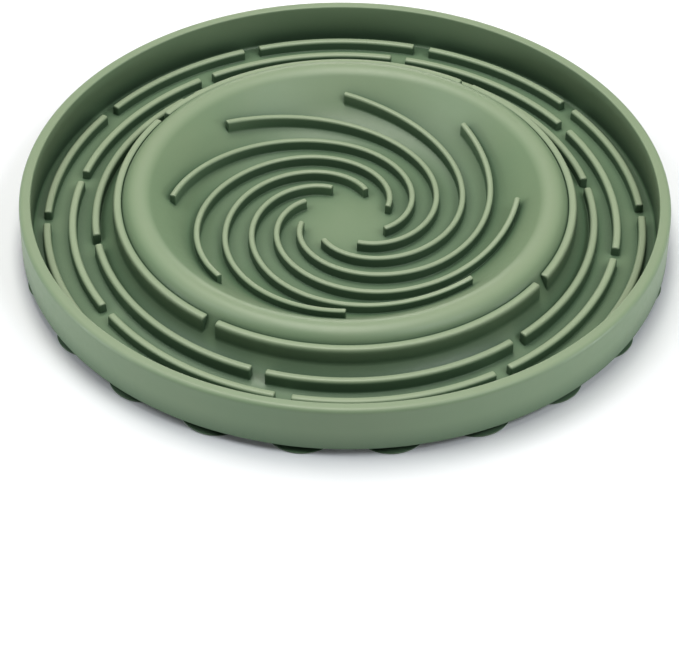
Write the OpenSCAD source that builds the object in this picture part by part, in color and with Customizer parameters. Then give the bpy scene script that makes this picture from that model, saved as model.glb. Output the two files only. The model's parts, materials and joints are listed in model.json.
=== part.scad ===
// Slow feeder bowl in soft silicone: a round tray with broken ring ribs, a ring-shaped dome,
// eight spiral vanes in the dish inside the dome, and a ring of suction cups as feet.
// The table is at z = 0 and the origin is in the middle of the bowl.

/* [Bowl] */
// Outer diameter of the rim
bowl_d = 220; // [200:1:260]
// Height from the table to the top of the rim
bowl_h = 19.3; // [17:0.1:26]
// Thickness of the upright rim wall
wall_t = 3.9; // [3:0.1:6]
// Radius on the outer top edge of the rim
rim_round = 1.6; // [0.5:0.1:2]
// Thickness of the flat floors and of the dome's sheet
floor_t = 1.6; // [1.2:0.1:2.4]

/* [Dome] */
// Width of the flat channel floor between the wall and the foot of the dome
channel_w = 17; // [13:0.5:19]
// Height of the crest above the floors
dome_h = 15; // [12:0.1:16.5]
// Slope of the dome's inner flank, in degrees
inner_slope = 40; // [34:1:42]
// Slope of the dome's outer flank, in degrees
outer_slope = 62; // [54:1:63]
// Crest radius on the inner side
inner_crest_round = 7; // [4:0.5:9]
// Crest radius on the outer side
outer_crest_round = 6; // [5:0.5:8.5]
// Radius at the foot of the inner flank
inner_foot_round = 30; // [12:0.5:32]
// Radius at the foot of the outer flank
outer_foot_round = 12.5; // [6:0.5:13]

/* [Ribs] */
// Width of a ring rib
rib_w = 2.8; // [2.2:0.1:3.6]
// Height of a rib in the channel over the surface at its inner side
rib_h = 3.6; // [2.5:0.1:5]
// Height of a rib on the dome over the flank at its inner side
dome_rib_h = 0.9; // [0:0.1:2]
// Radius on the top edges of a ring rib
rib_round = 1; // [0.3:0.1:1.1]
// Gap between two ribs of the outer ring; the other rings are cut by the same angle
rib_gap = 5.8; // [4:0.1:12]
// Distance from the wall to the middle of the outer ribs
outer_rib_in = 4.9; // [4:0.1:7]
// Distance from the wall to the middle of the middle ribs
middle_rib_in = 13.5; // [11:0.1:16]
// Distance from the wall to the middle of the inner ribs
inner_rib_in = 21.4; // [20:0.1:24]
// Distance from the wall to the middle of the ribs on the dome
dome_rib_in = 28.9; // [28:0.1:32]

/* [Vanes] */
// Diameter of the bare hub inside the vanes
hub_d = 30.4; // [24:0.2:40]
// Distance from the dome's crest to the outer ends of the vanes
vane_in = 11.5; // [9:0.5:16]
// Turn of a vane from its outer to its inner end, in degrees
vane_turn = 209; // [150:1:230]
// Width of a vane
vane_w = 2.1; // [1.5:0.1:3]
// Height of a vane over the surface that it stands on
vane_h = 3.8; // [2.5:0.1:5]
// How far the middle of a vane bows inwards from an even spiral
vane_bow = 1.1; // [0:0.1:2]

/* [Suction cups] */
// Diameter of a cup's lip
cup_d = 24; // [16:0.5:24]
// Height of a cup, from the table to the tray's underside
cup_h = 2.8; // [2.4:0.1:4]
// Diameter of the neck that joins a cup to the tray
neck_d = 9; // [6:0.5:12]
// Depth of the hollow under a cup
cup_hollow = 1.5; // [1:0.1:1.7]
// Width of the flat lip that rests on the table
lip_w = 0.8; // [0.5:0.1:1.5]

/* [Hidden] */
$fn = 96;
silicone = "#5f7a5c";
silicone_shade = "#526b50";

// Counts of the repeated pieces
wall_n = 4;
vane_n = 8;
dome_rib_n = 4;
inner_rib_n = 6;
middle_rib_n = 8;
outer_rib_n = 10;
cup_n = 22;

// Middle of one gap in each rib ring, and the outer end of one vane, counted from +X
dome_rib_turn = 56.5;
inner_rib_turn = 11.5;
middle_rib_turn = 33.3;
outer_rib_turn = 2.3;
vane_turn_start = 135.7;
cup_turn_start = 278.9;

wall_arc = 360 / wall_n;
bowl_r = bowl_d / 2;
wall_r = bowl_r - wall_t;
under_z = cup_h;
floor_z = under_z + floor_t;
crest_z = floor_z + dome_h;

// Eased inner edge of the rim, thickness of a cup's lip, and height of a cup's neck
inner_edge_round = 0.5;
lip_edge = 0.4;
neck_h = 0.6;

// Straight pieces in a rounded stretch, on a small edge, and along a vane
arc_steps = 8;
edge_steps = 4;
vane_steps = 48;

// Share of a vane's way over which its direction is taken
way_step = 0.01;

function names(prefix, count) = [for (i = [1 : count]) str(prefix, i)];

// Points on an arc about a centre, both ends included
function arc(center, radius, from, to, steps = arc_steps) = [
    for (i = [0 : steps])
        let (a = from + (to - from) * i / steps)
        center + radius * [cos(a), sin(a)]
];
function backwards(points) = [for (i = [len(points) - 1 : -1 : 0]) points[i]];

// Radial reach of a flank: crest arc, straight slope and foot arc
function flank_reach(slope, crest_round, foot_round) =
    (crest_round + foot_round) * sin(slope)
    + (dome_h - (crest_round + foot_round) * (1 - cos(slope))) / tan(slope);
foot_r = wall_r - channel_w;
crest_r = foot_r - flank_reach(outer_slope, outer_crest_round, outer_foot_round);
dish_r = crest_r - flank_reach(inner_slope, inner_crest_round, inner_foot_round);

// Sections of the dome's sheet, inside and outside of its crest, at a depth below its upper face
function inner_line(depth) = concat(
    arc([dish_r, floor_z + inner_foot_round], inner_foot_round + depth, -90, inner_slope - 90),
    arc([crest_r, crest_z - inner_crest_round], inner_crest_round - depth, 90 + inner_slope, 90)
);
function outer_line(depth) = concat(
    arc([crest_r, crest_z - outer_crest_round], outer_crest_round - depth, 90, 90 - outer_slope),
    arc([foot_r, floor_z + outer_foot_round], outer_foot_round + depth, 270 - outer_slope, 270)
);
dome_line = concat(inner_line(0), outer_line(0));

// Height of the upper face at a radius, read off the section's own straight pieces
function face_z(r) = r <= dish_r || r >= foot_r ? floor_z : lookup(r, dome_line);

// Everything below the upper face, to cut the undersides of what stands on it
module below_face() {
    polygon(concat([[0, 0], [0, floor_z]], dome_line, [[bowl_r, floor_z], [bowl_r, 0]]));
}

// One arc of the upright wall, the first with its middle on +X; the arcs meet face to face
module rim_wall(i) {
    section = concat(
        [[wall_r, under_z], [bowl_r, under_z]],
        arc([bowl_r - rim_round, bowl_h - rim_round], rim_round, 0, 90),
        arc([wall_r + inner_edge_round, bowl_h - inner_edge_round], inner_edge_round, 90, 180, edge_steps)
    );
    color(silicone) rotate([0, 0, (i - 1) * wall_arc - wall_arc / 2])
        rotate_extrude(angle = wall_arc) polygon(section);
}

module channel_floor() {
    color(silicone) rotate_extrude()
        translate([foot_r, under_z])
            square([wall_r - foot_r, floor_t]);
}

// The dome's sheet from its crest down to the channel
module dome_slope() {
    color(silicone) rotate_extrude()
        polygon(concat(outer_line(0), backwards(outer_line(floor_t))));
}

// The dome's sheet from its crest down to the dish
module dish_slope() {
    color(silicone) rotate_extrude()
        polygon(concat(inner_line(0), backwards(inner_line(floor_t))));
}

module dish_floor() {
    color(silicone) translate([0, 0, under_z]) cylinder(r = dish_r, h = floor_t);
}

// Path of a vane, from its outer end (way 0) to its inner end (way 1)
vane_out_r = crest_r - vane_in;
vane_end_r = hub_d / 2;
function vane_r(way) =
    vane_out_r + (vane_end_r - vane_out_r) * way - 4 * vane_bow * way * (1 - way);
function vane_at(way) =
    vane_r(way) * [cos(vane_turn * way), -sin(vane_turn * way)];
function vane_side(way) =
    let (step = vane_at(way + way_step) - vane_at(way - way_step))
    [-step.y, step.x] / norm(step) * vane_w / 2;
function with_z(p, z) = [p.x, p.y, z];

// A vane's section is level across its top, so that it stands up out of the flank
function vane_section(way) =
    let (top = face_z(vane_r(way)) + vane_h)
    let (left = vane_at(way) + vane_side(way), right = vane_at(way) - vane_side(way))
    [with_z(left, under_z), with_z(right, under_z), with_z(right, top), with_z(left, top)];

module swirl_vane(i) {
    points = [for (k = [0 : vane_steps]) each vane_section(k / vane_steps)];
    last = 4 * vane_steps;
    sides = [
        for (k = [0 : vane_steps - 1], c = [0 : 3])
            let (a = 4 * k + c, b = 4 * k + (c + 1) % 4)
            each [[a, b, b + 4], [a, b + 4, a + 4]]
    ];
    ends = [[0, 3, 2, 1], [last, last + 1, last + 2, last + 3]];
    color(silicone) rotate([0, 0, vane_turn_start - (i - 1) * 360 / vane_n]) difference() {
        polyhedron(points, concat(sides, ends));
        rotate_extrude() below_face();
    }
}

// Angle of the gaps, the same in every ring
gap_angle = rib_gap / (wall_r - outer_rib_in) * 180 / PI;

// One rib of a broken ring at a distance from the wall, its top over the surface at its inner side
module ring_rib(wall_gap, rise, count, turn, i) {
    r = wall_r - wall_gap;
    top = face_z(r - rib_w / 2) + rise;
    section = concat(
        [[r - rib_w / 2, under_z], [r + rib_w / 2, under_z]],
        arc([r + rib_w / 2 - rib_round, top - rib_round], rib_round, 0, 90, edge_steps),
        arc([r - rib_w / 2 + rib_round, top - rib_round], rib_round, 90, 180, edge_steps)
    );
    color(silicone) rotate([0, 0, turn + gap_angle / 2 + (i - 1) * 360 / count])
        rotate_extrude(angle = 360 / count - gap_angle) difference() {
            polygon(section);
            below_face();
        }
}

// A rib on the dome is nearly a step: low on its inner side and tall on its outer side
module dome_rib(i) {
    ring_rib(dome_rib_in, dome_rib_h, dome_rib_n, dome_rib_turn, i);
}

module inner_rib(i) {
    ring_rib(inner_rib_in, rib_h, inner_rib_n, inner_rib_turn, i);
}

module middle_rib(i) {
    ring_rib(middle_rib_in, rib_h, middle_rib_n, middle_rib_turn, i);
}

module outer_ribs() {
    for (i = [1 : outer_rib_n])
        ring_rib(outer_rib_in, rib_h, outer_rib_n, outer_rib_turn, i);
}

// A shallow bell with a flat lip, hollow below, on a neck that meets the tray's underside
module suction_cup(i) {
    lip_r = cup_d / 2;
    hollow_r = lip_r - lip_w;
    hollow_ball = (pow(hollow_r, 2) + pow(cup_hollow, 2)) / (2 * cup_hollow);
    hollow_angle = asin(hollow_r / hollow_ball);
    section = concat(
        arc([0, cup_hollow - hollow_ball], hollow_ball, 90, 90 - hollow_angle),
        [[lip_r, 0], [lip_r, lip_edge]],
        [[neck_d / 2, cup_h - neck_h], [neck_d / 2, cup_h], [0, cup_h]]
    );
    color(silicone_shade)
        rotate([0, 0, cup_turn_start + (i - 1) * 360 / cup_n])
            translate([bowl_r - lip_r, 0, 0])
                rotate_extrude() polygon(section);
}

for (i = [1 : wall_n]) rim_wall(i);
channel_floor();
dome_slope();
dish_slope();
dish_floor();
for (i = [1 : vane_n]) swirl_vane(i);
for (i = [1 : dome_rib_n]) dome_rib(i);
for (i = [1 : inner_rib_n]) inner_rib(i);
for (i = [1 : middle_rib_n]) middle_rib(i);
outer_ribs();
for (i = [1 : cup_n]) suction_cup(i);
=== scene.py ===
# %% [markdown]
# # A slow feeder bowl in soft silicone
# The bowl is one soft moulding: a low wall, broken ring ribs in a flat channel, a ring-shaped dome with
# spiral vanes in its dish, and a ring of suction cups below. The frame brings its plain solids with their
# sizes and their joints. Every step below makes one kind of piece again with the small radii that a mould
# leaves, so that light runs over the edges as it does on real silicone.

# %% Load the frame
import bisect
import json
import math

import bmesh
import bpy
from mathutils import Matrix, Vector

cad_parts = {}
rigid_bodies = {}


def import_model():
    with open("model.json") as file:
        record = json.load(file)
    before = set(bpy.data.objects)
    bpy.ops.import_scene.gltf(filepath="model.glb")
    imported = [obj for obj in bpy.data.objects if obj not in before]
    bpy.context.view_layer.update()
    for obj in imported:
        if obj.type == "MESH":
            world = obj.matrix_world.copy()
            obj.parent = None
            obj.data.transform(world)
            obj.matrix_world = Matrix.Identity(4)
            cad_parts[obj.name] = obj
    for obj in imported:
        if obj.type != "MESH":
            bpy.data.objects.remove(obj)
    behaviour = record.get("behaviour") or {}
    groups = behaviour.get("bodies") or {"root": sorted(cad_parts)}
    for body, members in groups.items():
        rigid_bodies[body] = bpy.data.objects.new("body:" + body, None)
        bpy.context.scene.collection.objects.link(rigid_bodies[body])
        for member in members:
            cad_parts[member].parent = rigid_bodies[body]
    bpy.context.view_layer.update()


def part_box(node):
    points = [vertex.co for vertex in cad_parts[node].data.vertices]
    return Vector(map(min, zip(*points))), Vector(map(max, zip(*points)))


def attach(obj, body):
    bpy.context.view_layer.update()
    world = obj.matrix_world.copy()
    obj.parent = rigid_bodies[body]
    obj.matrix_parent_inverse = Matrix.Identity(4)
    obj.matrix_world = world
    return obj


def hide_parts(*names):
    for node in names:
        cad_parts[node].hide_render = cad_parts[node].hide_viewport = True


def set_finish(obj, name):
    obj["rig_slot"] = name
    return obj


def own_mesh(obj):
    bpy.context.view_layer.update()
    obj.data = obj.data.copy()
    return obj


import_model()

MM = 0.001

# %% [markdown]
# ## Sizes
# The main radii and heights are read off the solids, so the pieces fit them without any trying. The slopes
# and the radii of the dome can't be read off a box, so they are written here as they are in the solids.

# %% Read the bowl's sizes
floor_low, floor_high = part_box("channel_floor")
wall_r, under_z, floor_z = floor_high.x, floor_low.z, floor_high.z
wall_t = 3.9 * MM
bowl_r = wall_r + wall_t
rim_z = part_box("rim_wall_1")[1].z
foot_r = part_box("dome_slope")[1].x
crest_r, crest_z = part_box("dish_slope")[1].x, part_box("dish_slope")[1].z
dish_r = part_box("dish_floor")[1].x
sheet_t = floor_z - under_z
inner_slope, inner_crest, inner_foot = 40, 7 * MM, 30 * MM
outer_slope, outer_crest, outer_foot = 62, 6 * MM, 12.5 * MM
radii = {"bowl": bowl_r, "wall": wall_r, "foot": foot_r, "crest": crest_r, "dish": dish_r}
for name, radius in radii.items():
    print(f"{name} radius: {radius / MM:.2f} mm")

# %% [markdown]
# ## A pen for sections
# A round moulding is easiest to draw as half of its cut section, which is then spun about the middle. The
# pen walks along that section in the XZ plane: it goes straight by extruding its tip, and it bends by
# spinning its tip about the centre of the bend. Each straight stretch gets a short piece at both ends,
# because smooth shading would otherwise spread the tone of a bend over the whole flat face next to it.

# %% The section pen
SUPPORT, WELD = 0.25 * MM, 0.001 * MM


class Pen:
    def __init__(self, x, z):
        self.bm = bmesh.new()
        self.tip = self.bm.verts.new((x, 0, z))
        self.heading = 0.0

    def face(self, degrees):
        self.heading = math.radians(degrees)

    def step(self, length):
        self.tip = bmesh.ops.extrude_vert_indiv(self.bm, verts=[self.tip])["verts"][0]
        along = Vector((math.cos(self.heading), 0, math.sin(self.heading)))
        bmesh.ops.translate(self.bm, verts=[self.tip], vec=length * along)

    def go(self, length):
        ease = min(SUPPORT, length / 4)
        for part in (ease, length - 2 * ease, ease):
            self.step(part)

    def bend(self, radius, degrees, steps):
        side = math.copysign(1, degrees)
        to_centre = side * radius * Vector((-math.sin(self.heading), 0, math.cos(self.heading)))
        made = bmesh.ops.spin(
            self.bm, geom=[self.tip], cent=self.tip.co + to_centre, axis=(0, -side, 0), dvec=(0, 0, 0),
            angle=math.radians(abs(degrees)), steps=steps, use_merge=False, use_duplicate=False,
        )
        self.tip = [v for v in made["geom_last"] if isinstance(v, bmesh.types.BMVert)][0]
        self.heading += math.radians(degrees)

    def turn_round(self, steps):
        bm = self.bm
        bmesh.ops.spin(
            bm, geom=bm.verts[:] + bm.edges[:], cent=(0, 0, 0), axis=(0, 0, 1), dvec=(0, 0, 0),
            angle=math.tau, steps=steps, use_merge=True, use_duplicate=False,
        )
        bmesh.ops.remove_doubles(bm, verts=bm.verts, dist=WELD)
        bmesh.ops.recalc_face_normals(bm, faces=bm.faces)
        return bm


# %% Mark the painted highlight and turn a mesh into a piece
def mark_painted_highlight(bm, share):
    layer = bm.verts.layers.float.new("painted_highlight")
    for vert in bm.verts:
        vert[layer] = min(max(share(vert.co), 0), 1)


def piece(name, bm):
    mesh = bpy.data.meshes.new(name)
    bm.to_mesh(mesh)
    bm.free()
    for face in mesh.polygons:
        face.use_smooth = True
    obj = bpy.data.objects.new(name, mesh)
    bpy.context.scene.collection.objects.link(obj)
    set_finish(obj, "silicone")
    return obj


# %% [markdown]
# ## The tray
# On the real bowl the wall, the floors and the dome are one sheet of silicone, without any seam. It could
# be put together from the separate solids, but then a line would show at each joint. One section that runs
# along the whole upper face, over the rim and back along the underside gives a single closed skin when it
# is spun.

# %% Draw the tray's section
channel_fillet, rim_inner, rim_outer, wall_foot = 1.0 * MM, 0.5 * MM, 1.6 * MM, 0.4 * MM


def slope_length(slope, crest_round, foot_round):
    angle = math.radians(slope)
    bends = (crest_round + foot_round) * (1 - math.cos(angle))
    return (crest_z - floor_z - bends) / math.sin(angle)


inner_length = slope_length(inner_slope, inner_crest, inner_foot)
outer_length = slope_length(outer_slope, outer_crest, outer_foot)

pen = Pen(0, floor_z)
pen.go(dish_r)
pen.bend(inner_foot, inner_slope, steps=14)
pen.go(inner_length)
pen.bend(inner_crest, -inner_slope, steps=12)
pen.bend(outer_crest, -outer_slope, steps=14)
pen.go(outer_length)
pen.bend(outer_foot, outer_slope, steps=12)
pen.go(wall_r - foot_r - channel_fillet)
upper_face = [(v.co.x, v.co.z) for v in pen.bm.verts]
pen.bend(channel_fillet, 90, steps=6)
pen.go(rim_z - floor_z - channel_fillet - rim_inner)
pen.bend(rim_inner, -90, steps=6)
pen.go(wall_t - rim_inner - rim_outer)
pen.bend(rim_outer, -90, steps=10)
pen.go(rim_z - under_z - rim_outer - wall_foot)
pen.bend(wall_foot, -90, steps=5)
pen.go(bowl_r - wall_foot - foot_r)
pen.bend(outer_foot + sheet_t, -outer_slope, steps=12)
pen.go(outer_length)
pen.bend(outer_crest - sheet_t, outer_slope, steps=10)
pen.bend(inner_crest - sheet_t, inner_slope, steps=10)
pen.go(inner_length)
pen.bend(inner_foot + sheet_t, -inner_slope, steps=12)
pen.go(dish_r)
off_middle, off_underside = pen.tip.co.x / MM, (pen.tip.co.z - under_z) / MM
print(f"section ends {off_middle:.3f} mm from the middle, {off_underside:.3f} mm off the underside")

# %% [markdown]
# The rim and the crest of the dome get a painted highlight: they are painted paler, as light would catch
# them.
# Each point of the skin gets a mark that says how much of this painted highlight it takes, and the material
# reads it later.

# %% Spin the section
TRAY_STEPS, WALL_COUNT, RIM_HIGHLIGHT_BAND = 320, 4, 1 * MM
# The rim band above and these numbers set how strongly the rim and the crest are painted paler, a painted
# highlight.
RIM_HIGHLIGHT, CREST_HIGHLIGHT, CREST_HIGHLIGHT_DROP = 0.55, 0.5, 1.3 * MM


def tray_painted_highlight(co):
    if co.xy.length > wall_r - RIM_HIGHLIGHT_BAND:
        return RIM_HIGHLIGHT - (rim_z - co.z) / rim_outer
    return CREST_HIGHLIGHT * (1 - (crest_z - co.z) / CREST_HIGHLIGHT_DROP)


tray_mesh = pen.turn_round(TRAY_STEPS)
mark_painted_highlight(tray_mesh, tray_painted_highlight)
tray = piece("tray_skin", tray_mesh)
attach(tray, "tray")
walls = [f"rim_wall_{i}" for i in range(1, WALL_COUNT + 1)]
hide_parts(*walls, "channel_floor", "dome_slope", "dish_slope", "dish_floor")
print("tray faces:", len(tray.data.polygons))

# %% [markdown]
# ## Ribs and vanes
# The ribs and the vanes are low bars with round tops, eased ends and a small fillet where they leave the
# floor. A bar could be swept along a curve, but a curve's ends stay sharp. So a straight bar is made first:
# its section is drawn with the pen, filled and extruded, the edges round both ends are bevelled, and the
# length is cut into short steps. Then the bar is laid along its path, and each of its points goes to the
# height of the tray below. The feet dip a hair below the tray, because two skins that only touch would show
# a broken line.

# %% Make a straight bar
# The last number is the share of a bar's height above which its top is painted paler, a painted highlight.
SINK, TOE_DIP, BAR_STEP, TOP_HIGHLIGHT_FROM = 0.5 * MM, 0.04 * MM, 1.6 * MM, 0.8


def bar_section(width, height, foot, top):
    pen = Pen(-width / 2 - foot, -SINK)
    pen.face(90)
    pen.step(SINK)
    pen.face(0)
    pen.bend(foot, 90, steps=4)
    pen.go(height - foot - top)
    pen.bend(top, -90, steps=6)
    pen.go(width - 2 * top)
    pen.bend(top, -90, steps=6)
    pen.go(height - foot - top)
    pen.bend(foot, 90, steps=4)
    pen.face(-90)
    pen.step(SINK)
    pen.face(180)
    pen.step(width + 2 * foot)
    bmesh.ops.remove_doubles(pen.bm, verts=pen.bm.verts, dist=WELD)
    return pen.bm


def straight_bar(length, width, height, foot, top, end):
    bm = bar_section(width, height, foot, top)
    bmesh.ops.contextual_create(bm, geom=bm.edges[:])
    far_end = bmesh.ops.extrude_face_region(bm, geom=bm.faces[:])["geom"]
    far_verts = [v for v in far_end if isinstance(v, bmesh.types.BMVert)]
    bmesh.ops.translate(bm, verts=far_verts, vec=(0, length, 0))
    rounds = [
        e for e in bm.edges
        if e.verts[0].co.y == e.verts[1].co.y and max(v.co.z for v in e.verts) > -SINK / 2
    ]
    bmesh.ops.bevel(
        bm, geom=rounds, offset=end, offset_type="OFFSET", segments=4, profile=0.5, affect="EDGES",
        material=-1,
    )
    long_edges = [e for e in bm.edges if abs(e.verts[0].co.y - e.verts[1].co.y) > length / 2]
    bmesh.ops.subdivide_edges(bm, edges=long_edges, cuts=int(length / BAR_STEP))
    # The top of the bar is marked for a painted highlight.
    mark_painted_highlight(bm, lambda co: (co.z / height - TOP_HIGHLIGHT_FROM) / (1 - TOP_HIGHLIGHT_FROM))
    return bm


# %% Lay a bar along its path on the tray
face_radii = [r for r, z in upper_face]


def face_height(radius):
    k = bisect.bisect_right(face_radii, radius, 1, len(face_radii) - 1)
    (r0, z0), (r1, z1) = upper_face[k - 1], upper_face[k]
    return z0 + (z1 - z0) * (radius - r0) / (r1 - r0)


def lay(bm, path, height, top_at):
    for vert in bm.verts:
        across, along, up = vert.co
        point, side = path(along)
        place = point + across * side
        base = face_height(place.length)
        share = max(up / height, 0)
        rise = min(up, 0) + share * (top_at(point.length) - base) - TOE_DIP * (1 - share)
        vert.co = (place.x, place.y, base + rise)
    bmesh.ops.recalc_face_normals(bm, faces=bm.faces)
    return bm


print(f"tray height at the crest: {face_height(crest_r) / MM:.2f} mm")

# %% [markdown]
# ## Four broken rings of ribs
# Each ring is a circle cut into equal ribs, and all rings are cut by gaps of the same angle. The outer
# three stand in the channel and at the foot of the dome. The fourth stands up out of the dome's outer
# flank, where its top stays level and its outer side is the taller one.

# %% Make the ring ribs
RIB_W, RIB_H, RIB_FOOT, RIB_TOP, RIB_END = 2.8 * MM, 3.6 * MM, 0.4 * MM, 1.0 * MM, 0.6 * MM
RIB_GAP, DOME_RISE = 5.8 * MM, 0.9 * MM
OUTER_IN, MIDDLE_IN, INNER_IN, DOME_IN = 4.9 * MM, 13.5 * MM, 21.4 * MM, 28.9 * MM
gap_angle = RIB_GAP / (wall_r - OUTER_IN)


def ring_path(radius, start):
    def path(along):
        angle = start + along / radius
        out = Vector((math.cos(angle), math.sin(angle)))
        return radius * out, -out
    return path


def ring(name, wall_gap, rise, count, turn, node):
    radius = wall_r - wall_gap
    length = radius * (math.tau / count - gap_angle)
    top = face_height(radius - RIB_W / 2) + rise
    for i in range(count):
        start = math.radians(turn + 360 * i / count) + gap_angle / 2
        bm = straight_bar(length, RIB_W, RIB_H, RIB_FOOT, RIB_TOP, RIB_END)
        rib = piece(f"{name}_{i + 1}", lay(bm, ring_path(radius, start), RIB_H, lambda r: top))
        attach(rib, "tray")
        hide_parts(node.format(i + 1))
    print(f"{name}: {count} ribs of {length / MM:.1f} mm at radius {radius / MM:.1f} mm")


ring("dome_bar", DOME_IN, DOME_RISE, count=4, turn=56.5, node="dome_rib_{}")
ring("inner_bar", INNER_IN, RIB_H, count=6, turn=11.5, node="inner_rib_{}")
ring("middle_bar", MIDDLE_IN, RIB_H, count=8, turn=33.3, node="middle_rib_{}")
ring("outer_bar", OUTER_IN, RIB_H, count=10, turn=2.3, node="outer_ribs")

# %% [markdown]
# ## Eight spiral vanes
# The vanes run from high on the dome's inner flank down to the bare hub, and turn by a little over half a
# circle on the way. A spiral has no even pace along its angle, so its points are first measured, and the
# bar is laid by true length. That keeps the rounded ends at both tips the same.

# %% Measure the spiral
VANE_COUNT, VANE_TURN, VANE_START = 8, 209, 135.7
VANE_BOW, VANE_IN, HUB_R = 1.1 * MM, 11.5 * MM, 15.2 * MM
SPIRAL_STEPS = 400
vane_out_r = crest_r - VANE_IN


def spiral_point(way, start):
    radius = vane_out_r + (HUB_R - vane_out_r) * way - 4 * VANE_BOW * way * (1 - way)
    angle = math.radians(start - VANE_TURN * way)
    return radius * Vector((math.cos(angle), math.sin(angle)))


def spiral_lengths():
    points = [spiral_point(k / SPIRAL_STEPS, 0) for k in range(SPIRAL_STEPS + 1)]
    lengths = [0.0]
    for a, b in zip(points, points[1:]):
        lengths.append(lengths[-1] + (b - a).length)
    return lengths


vane_lengths = spiral_lengths()
print(f"spiral: {vane_lengths[-1] / MM:.1f} mm from radius {vane_out_r / MM:.1f} to {HUB_R / MM:.1f} mm")

# %% Make the vanes
VANE_W, VANE_H, VANE_FOOT, VANE_TOP, VANE_END = 2.1 * MM, 3.8 * MM, 0.4 * MM, 0.8 * MM, 0.45 * MM


def way_at(along):
    k = sum(1 for length in vane_lengths[1:-1] if length < along)
    share = (along - vane_lengths[k]) / (vane_lengths[k + 1] - vane_lengths[k])
    return (k + share) / SPIRAL_STEPS


def spiral_path(start):
    def path(along):
        way, step = way_at(along), 1 / SPIRAL_STEPS
        ahead = spiral_point(way + step, start) - spiral_point(way - step, start)
        ahead.normalize()
        return spiral_point(way, start), Vector((-ahead.y, ahead.x))
    return path


for i in range(VANE_COUNT):
    bm = straight_bar(vane_lengths[-1], VANE_W, VANE_H, VANE_FOOT, VANE_TOP, VANE_END)
    path = spiral_path(VANE_START - 360 * i / VANE_COUNT)
    vane = piece(f"vane_{i + 1}", lay(bm, path, VANE_H, lambda r: face_height(r) + VANE_H))
    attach(vane, "tray")
    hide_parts(f"swirl_vane_{i + 1}")
print(f"vanes: {VANE_COUNT} of {vane_lengths[-1] / MM:.1f} mm")

# %% [markdown]
# ## Suction cups
# Each foot is a shallow bell with a thin lip and a hollow below. Pressed on a table it flattens and lets
# the air out. Here each cup is set once below the tray and goes with the tray's body.

# %% Draw a cup
CUP_R, NECK_R, NECK_H, CUP_STEPS = 12 * MM, 4.5 * MM, 0.6 * MM, 64
HOLLOW, LIP_W, LIP_EDGE = 1.5 * MM, 0.8 * MM, 0.4 * MM
hollow_r = CUP_R - LIP_W
hollow_ball = (hollow_r ** 2 + HOLLOW ** 2) / (2 * HOLLOW)
hollow_angle = math.degrees(math.asin(hollow_r / hollow_ball))
print(f"hollow: part of a ball of {hollow_ball / MM:.1f} mm radius")


def cup_bell():
    pen = Pen(0, HOLLOW)
    pen.bend(hollow_ball, -hollow_angle, steps=10)
    pen.face(0)
    pen.step(LIP_W - LIP_EDGE / 2)
    pen.bend(LIP_EDGE / 2, 90, steps=4)
    pen.bend(LIP_EDGE / 2, 90, steps=4)
    rise = under_z - NECK_H - pen.tip.co.z
    pen.face(math.degrees(math.atan2(rise, NECK_R - pen.tip.co.x)))
    pen.go(math.hypot(rise, NECK_R - pen.tip.co.x))
    pen.face(90)
    pen.step(NECK_H)
    pen.face(180)
    pen.step(NECK_R)
    return pen.turn_round(CUP_STEPS)


# %% Set the cups below the tray
CUP_COUNT, CUP_START = 22, 278.9
for i in range(1, CUP_COUNT + 1):
    bm = cup_bell()
    angle = math.radians(CUP_START + 360 * (i - 1) / CUP_COUNT)
    reach = bowl_r - CUP_R
    bmesh.ops.translate(bm, verts=bm.verts, vec=(reach * math.cos(angle), reach * math.sin(angle), 0))
    cup = piece(f"cup_bell_{i}", bm)
    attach(cup, "tray")
    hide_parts(f"suction_cup_{i}")
    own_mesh(cup)
print(f"cups: {CUP_COUNT} of {2 * CUP_R / MM:.0f} mm")

# %% [markdown]
# ## Silicone
# Pigmented silicone is matte and a little waxy. Three things keep it from looking like flat paint. The
# mould is lightly blasted, which leaves a grain too fine to feel. The pigment is never mixed quite evenly,
# so the tone drifts over some centimetres. And shade is painted into the creases, darker than the open
# faces, while a painted highlight makes the crowns pale. The grain, the drift and the painted crease shade
# are each a node group of its own, so that another colour of silicone could share them.

# %% Node helpers
def new_group(name, sockets):
    group = bpy.data.node_groups.new(name, "ShaderNodeTree")
    for label, in_out in sockets:
        group.interface.new_socket(label, in_out=in_out, socket_type="NodeSocketFloat")
    return group, group.nodes.new("NodeGroupInput"), group.nodes.new("NodeGroupOutput")


def feed(tree, socket, value):
    if isinstance(value, bpy.types.NodeSocket):
        tree.links.new(value, socket)
    else:
        socket.default_value = value


def add_node(tree, kind, inputs=(), **settings):
    node = tree.nodes.new(kind)
    for key, value in settings.items():
        setattr(node, key, value)
    for key, value in dict(inputs).items():
        feed(tree, node.inputs[key], value)
    return node


def mix(tree, data_type, factor, a, b):
    node = add_node(tree, "ShaderNodeMix", data_type=data_type)
    for socket, value in zip([s for s in node.inputs if s.enabled], (factor, a, b)):
        feed(tree, socket, value)
    return next(s for s in node.outputs if s.enabled)


# %% The grain of the mould
FINE_GRAIN, BROAD_GRAIN, BROAD_SHARE = 2400, 420, 0.35
SMOOTHEST, ROUGHEST = 0.40, 0.46


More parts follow.
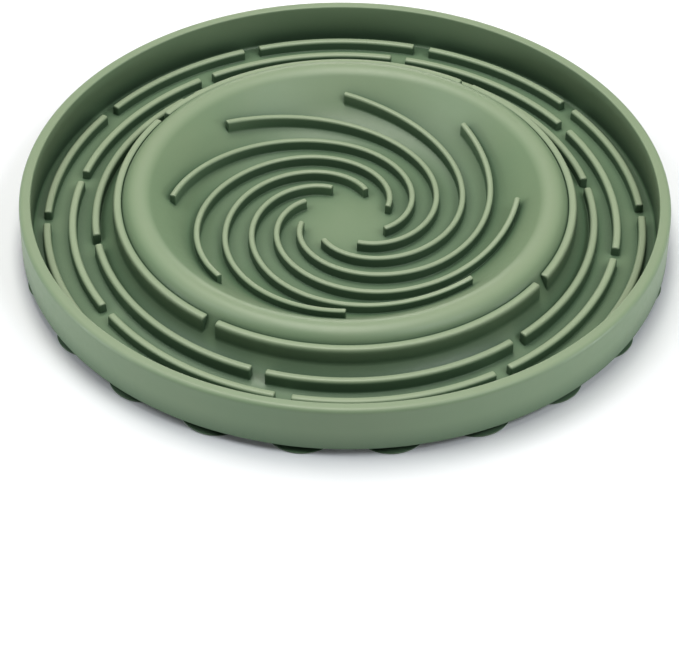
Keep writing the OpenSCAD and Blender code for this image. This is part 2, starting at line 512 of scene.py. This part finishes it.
def grain_group():
    group, _, out = new_group("mould_grain", [("Height", "OUTPUT"), ("Roughness", "OUTPUT")])
    place = add_node(group, "ShaderNodeTexCoord").outputs["Object"]
    fine = add_node(group, "ShaderNodeTexNoise", {"Vector": place, "Scale": FINE_GRAIN, "Detail": 2})
    broad = add_node(group, "ShaderNodeTexNoise", {"Vector": place, "Scale": BROAD_GRAIN, "Detail": 3})
    height = mix(group, "FLOAT", BROAD_SHARE, fine.outputs["Fac"], broad.outputs["Fac"])
    roughness = add_node(group, "ShaderNodeMapRange", {
        "Value": broad.outputs["Fac"], "From Min": 0.3, "From Max": 0.7,
        "To Min": SMOOTHEST, "To Max": ROUGHEST,
    })
    feed(group, out.inputs["Height"], height)
    feed(group, out.inputs["Roughness"], roughness.outputs["Result"])
    return group


grain = grain_group()
print("group:", grain.name)

# %% The drift of the pigment
CLOUD_SCALE = 22


def drift_group():
    group, _, out = new_group("pigment_drift", [("Drift", "OUTPUT")])
    place = add_node(group, "ShaderNodeTexCoord").outputs["Object"]
    clouds = add_node(group, "ShaderNodeTexNoise", {
        "Vector": place, "Scale": CLOUD_SCALE, "Detail": 3, "Roughness": 0.55, "Distortion": 0.6,
    })
    spread = add_node(group, "ShaderNodeMapRange", {
        "Value": clouds.outputs["Fac"], "From Min": 0.35, "From Max": 0.65,
    })
    feed(group, out.inputs["Drift"], spread.outputs["Result"])
    return group


drift = drift_group()
print("group:", drift.name)


# %% Painted shade in the creases
def painted_shade_group():
    group, given, out = new_group("painted_crease_shade", [("Reach", "INPUT"), ("Open", "OUTPUT")])
    # Ambient occlusion finds the creases, and shade is then painted into the colour there.
    around = add_node(group, "ShaderNodeAmbientOcclusion", {"Distance": given.outputs["Reach"]}, samples=8)
    feed(group, out.inputs["Open"], around.outputs["AO"])
    return group


painted_shade_tree = painted_shade_group()
print("group:", painted_shade_tree.name)

# %% [markdown]
# The material mixes its colour in three steps. The pigment drifts between two close greens. Shade is painted
# into the creases: a mid shade, and in the deepest ones a still darker green. Last, a painted highlight turns
# the marked crowns paler.

# %% The silicone material
SAGE, SAGE_WARM = (0.194, 0.284, 0.167, 1), (0.208, 0.290, 0.172, 1)
# Two darker greens that paint shade into the creases, and a pale colour that paints a highlight on the
# crowns.
PAINTED_DEEP_SHADE, PAINTED_SHADE, HIGHLIGHT_PALE = (0.018, 0.046, 0.022, 1), (0.094, 0.162, 0.092, 1), (0.40, 0.48, 0.32, 1)
# How far the occlusion reaches for the painted crease shade, where that painted shade fades out, and how much
# painted highlight the crowns take.
PAINTED_SHADE_REACH, SHADE_AT, HIGHLIGHT_SHARE = 11 * MM, 0.6, 0.6
GRAIN_DEPTH, GRAIN_STRENGTH, SILICONE_IOR = 0.05 * MM, 0.25, 1.46


def silicone_material():
    material = bpy.data.materials.new("sage_silicone")
    material.use_nodes = True
    tree = material.node_tree
    texture = add_node(tree, "ShaderNodeGroup", node_tree=grain).outputs
    cloud = add_node(tree, "ShaderNodeGroup", node_tree=drift).outputs
    hollow = add_node(tree, "ShaderNodeGroup", {"Reach": PAINTED_SHADE_REACH}, node_tree=painted_shade_tree).outputs["Open"]
    painted_highlight = add_node(tree, "ShaderNodeAttribute", attribute_name="painted_highlight").outputs["Fac"]
    # The marked crowns are painted paler, a painted highlight.
    highlight_amount = add_node(tree, "ShaderNodeMath", {0: painted_highlight, 1: HIGHLIGHT_SHARE}, operation="MULTIPLY").outputs["Value"]
    pigment = mix(tree, "RGBA", cloud["Drift"], SAGE, SAGE_WARM)
    # Shade is painted in: the deep green where occlusion is strongest, a mid shade up to the fade point, the
    # pigment beyond it.
    deep = add_node(tree, "ShaderNodeMapRange", {"Value": hollow, "From Max": SHADE_AT}).outputs["Result"]
    light = add_node(tree, "ShaderNodeMapRange", {"Value": hollow, "From Min": SHADE_AT}).outputs["Result"]
    shaded = mix(tree, "RGBA", light, mix(tree, "RGBA", deep, PAINTED_DEEP_SHADE, PAINTED_SHADE), pigment)
    bump = add_node(tree, "ShaderNodeBump", {
        "Strength": GRAIN_STRENGTH, "Distance": GRAIN_DEPTH, "Height": texture["Height"],
    })
    skin = tree.nodes["Principled BSDF"]
    skin.inputs["IOR"].default_value = SILICONE_IOR
    feed(tree, skin.inputs["Base Color"], mix(tree, "RGBA", highlight_amount, shaded, HIGHLIGHT_PALE))
    feed(tree, skin.inputs["Roughness"], texture["Roughness"])
    feed(tree, skin.inputs["Normal"], bump.outputs["Normal"])
    return material


silicone = silicone_material()
dressed = [obj for obj in bpy.context.scene.objects if "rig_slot" in obj]
for obj in dressed:
    obj.data.materials.append(silicone)
print(f"{silicone.name}: {len(silicone.node_tree.nodes)} nodes on {len(dressed)} pieces")

# %% [markdown]
# ## Studio
# The bowl stands on white paper under soft boxes. One hangs straight above it and one high behind it, and
# they light every face that looks up. A box on each side draws the flanks, a low one behind gives the rim
# its line, and two small ones near the table light the outer wall. Nothing shines straight from the
# camera's side, so the faces of the ribs that look at the camera stay dark. The paper returns light to the
# wall as real paper does. Only for the camera it is lifted towards plain white, little next to the bowl and
# more away from it, so it keeps the shadow. Past its edge the camera sees white, which lights nothing.

# %% White paper
PAPER, PAPER_SIZE, PAPER_DROP = (0.85, 0.87, 0.91, 1), 1.2, 0.2 * MM
NEAR_LIFT, FAR_LIFT, LIFT_FROM, LIFT_TO = 0.04, 0.4, 0.114, 0.155


def paper_material():
    material = bpy.data.materials.new("white_paper")
    material.use_nodes = True
    tree = material.node_tree
    tree.nodes.remove(tree.nodes["Principled BSDF"])
    sheet = add_node(tree, "ShaderNodeBsdfDiffuse", {"Color": PAPER})
    seen = add_node(tree, "ShaderNodeLightPath").outputs["Is Camera Ray"]
    place = add_node(tree, "ShaderNodeTexCoord").outputs["Object"]
    from_bowl = add_node(tree, "ShaderNodeVectorMath", {0: place}, operation="LENGTH").outputs["Value"]
    away = add_node(tree, "ShaderNodeMapRange", {
        "Value": from_bowl, "From Min": LIFT_FROM, "From Max": LIFT_TO,
        "To Min": NEAR_LIFT, "To Max": FAR_LIFT,
    }, interpolation_type="SMOOTHSTEP").outputs["Result"]
    lift = add_node(tree, "ShaderNodeMath", {0: seen, 1: away}, operation="MULTIPLY")
    glow = add_node(tree, "ShaderNodeEmission", {"Strength": lift.outputs["Value"]})
    both = add_node(tree, "ShaderNodeAddShader", {0: sheet.outputs["BSDF"], 1: glow.outputs["Emission"]})
    feed(tree, tree.nodes["Material Output"].inputs["Surface"], both.outputs["Shader"])
    return material


bpy.ops.mesh.primitive_plane_add(size=PAPER_SIZE, location=(0, 0, -PAPER_DROP))
floor = bpy.context.object
floor.name = "studio_floor"
floor.data.materials.append(paper_material())
print(f"paper: {PAPER_SIZE} m square")

# %% Soft boxes
LIGHT_DISTANCE = 1.2
WARM, COOL = (1, 0.96, 0.90), (0.95, 0.99, 1)


def soft_box(name, azimuth, elevation, power, color, size=0.5):
    lamp = bpy.data.lights.new(name, "AREA")
    lamp.shape, lamp.size, lamp.energy, lamp.color = "DISK", size, power, color
    box = bpy.data.objects.new(name, lamp)
    turn, rise = math.radians(azimuth), math.radians(elevation)
    flat = math.cos(rise)
    towards = Vector((math.cos(turn) * flat, math.sin(turn) * flat, math.sin(rise)))
    box.location = LIGHT_DISTANCE * towards
    box.rotation_euler = towards.to_track_quat("Z", "Y").to_euler()
    bpy.context.scene.collection.objects.link(box)
    print(f"{name}: {power} W from {azimuth} degrees round and {elevation} degrees up")


soft_box("top_box", 0, 90, 5.2, WARM)
soft_box("back_box", 105, 70, 6.0, WARM)
soft_box("left_box", 190, 50, 3.0, COOL)
soft_box("right_box", 325, 50, 4.4, COOL)
soft_box("rim_box", 90, 8, 2.2, WARM)
soft_box("low_left_box", 190, 4, 4.2, COOL, size=0.2)
soft_box("low_right_box", 350, 4, 4.0, COOL, size=0.2)

# %% White beyond the paper
world = bpy.context.scene.world or bpy.data.worlds.new("studio")
bpy.context.scene.world = world
world.use_nodes = True
sky = world.node_tree
background = sky.nodes["Background"].inputs
background["Color"].default_value = (1, 1, 1, 1)
feed(sky, background["Strength"], add_node(sky, "ShaderNodeLightPath").outputs["Is Camera Ray"])
print("world:", world.name)

# %% [markdown]
# ## Camera
# The camera stands where the photograph was taken from. Its long lens looks down at about 42 degrees.

# %% Set the camera
camera = bpy.data.objects.new("camera", bpy.data.cameras.new("camera"))
camera.location = (-0.00005, -0.70934, 0.58780)
camera.rotation_euler = [math.radians(a) for a in (48.3652, -0.5245, 0.5741)]
camera.data.sensor_width = 36
camera.data.lens = 142.34
bpy.context.scene.collection.objects.link(camera)
bpy.context.scene.camera = camera
bpy.context.scene.view_settings.view_transform = "Standard"
print(f"camera: {camera.location.length:.2f} m away, {camera.data.lens} mm lens")
